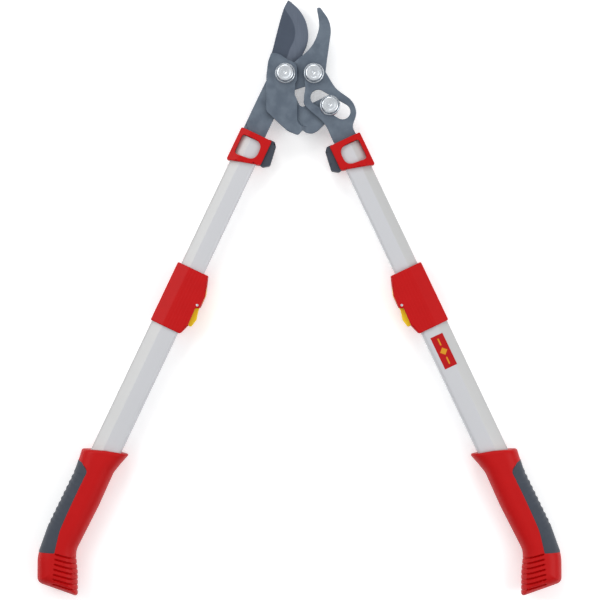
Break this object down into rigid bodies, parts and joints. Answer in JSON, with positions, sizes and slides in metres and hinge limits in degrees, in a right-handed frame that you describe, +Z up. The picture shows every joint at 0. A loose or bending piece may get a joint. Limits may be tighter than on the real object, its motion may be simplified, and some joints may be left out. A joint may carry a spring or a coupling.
{
  "type": "bypass loppers",
  "caption": "Telescopic bypass loppers with a compound lever head, sliding tubes with sprung latches and hooked grips.",
  "frame": {"origin": "on the blade pivot's axis, in the plane that the pivot bolt's end and both grips rest on", "axes": "+Y towards the jaws, +X towards the right handle, +Z up off the surface the tool lies on"},
  "size_m": [0.5344, 0.6063, 0.034],
  "materials": {
    "coated_steel": "satin grey non-stick coating",
    "blade_steel": "satin grey non-stick coating, ground edge",
    "zinc": "bright zinc plate",
    "spring_steel": "bright",
    "tube": "satin anodised",
    "red_plastic": "satin moulded",
    "yellow_plastic": "satin moulded",
    "soft_grey": "matt soft-touch",
    "nylon": "matt"
  },
  "bodies": {
    "hook_side": {"hook_plate": "coated_steel", "pivot_bolt": "zinc", "pivot_nut": "zinc", "lever_bolt": "zinc", "lever_nut": "zinc", "left_inner_tube": "tube", "left_tang_rivet": "spring_steel", "left_tube_plug": "nylon", "left_collar": "red_plastic", "left_bumper": "soft_grey"},
    "blade_side": {"cutting_blade": "blade_steel", "carrier_plate": "coated_steel", "roller_bolt": "zinc", "roller_nut": "zinc", "drive_roller": "spring_steel"},
    "lever_side": {"right_lever": "coated_steel", "right_inner_tube": "tube", "right_tang_rivet": "spring_steel", "right_tube_plug": "nylon", "right_collar": "red_plastic", "right_bumper": "soft_grey"},
    "left_extension": {"left_outer_tube": "tube", "left_lock_housing": "red_plastic", "left_housing_rivet": "zinc", "left_latch_pin": "zinc", "left_latch_spring": "spring_steel", "left_grip": "red_plastic", "left_grip_pad": "soft_grey"},
    "left_latch_lever": {"left_latch": "yellow_plastic"},
    "right_extension": {"right_outer_tube": "tube", "right_lock_housing": "red_plastic", "right_housing_rivet": "zinc", "right_latch_pin": "zinc", "right_latch_spring": "spring_steel", "right_grip": "red_plastic", "right_grip_pad": "soft_grey"},
    "right_latch_lever": {"right_latch": "yellow_plastic"}
  },
  "joints": [
    {"name": "lever_pivot", "type": "hinge", "parent": "hook_side", "child": "lever_side", "pos_m": [0.029, 0, 0.0213], "axis": [0, 0, 1], "range_deg": [-34, 24]},
    {"name": "blade_pivot", "type": "hinge", "parent": "hook_side", "child": "blade_side", "pos_m": [0, 0, 0.0121], "axis": [0, 0, 1], "range_deg": [-21, 15]},
    {"name": "left_telescope", "type": "slide", "parent": "hook_side", "child": "left_extension", "axis": [-0.4289, -0.9033, 0], "range_m": [0, 0.25]},
    {"name": "right_telescope", "type": "slide", "parent": "lever_side", "child": "right_extension", "axis": [0.4289, -0.9033, 0], "range_m": [0, 0.25]},
    {"name": "left_latch_press", "type": "hinge", "parent": "left_extension", "child": "left_latch_lever", "pos_m": [-0.08902, -0.23526, 0.017], "axis": [0, 0, -1], "range_deg": [0, 8], "stiffness_Nm_per_rad": 0.2, "springref_deg": -5.73},
    {"name": "right_latch_press", "type": "hinge", "parent": "right_extension", "child": "right_latch_lever", "pos_m": [0.11802, -0.23526, 0.017], "axis": [0, 0, 1], "range_deg": [0, 8], "stiffness_Nm_per_rad": 0.2, "springref_deg": -5.73}
  ],
  "couplings": [
    {"joint": "blade_pivot", "follows": "lever_pivot", "ratio": 0.61}
  ]
}
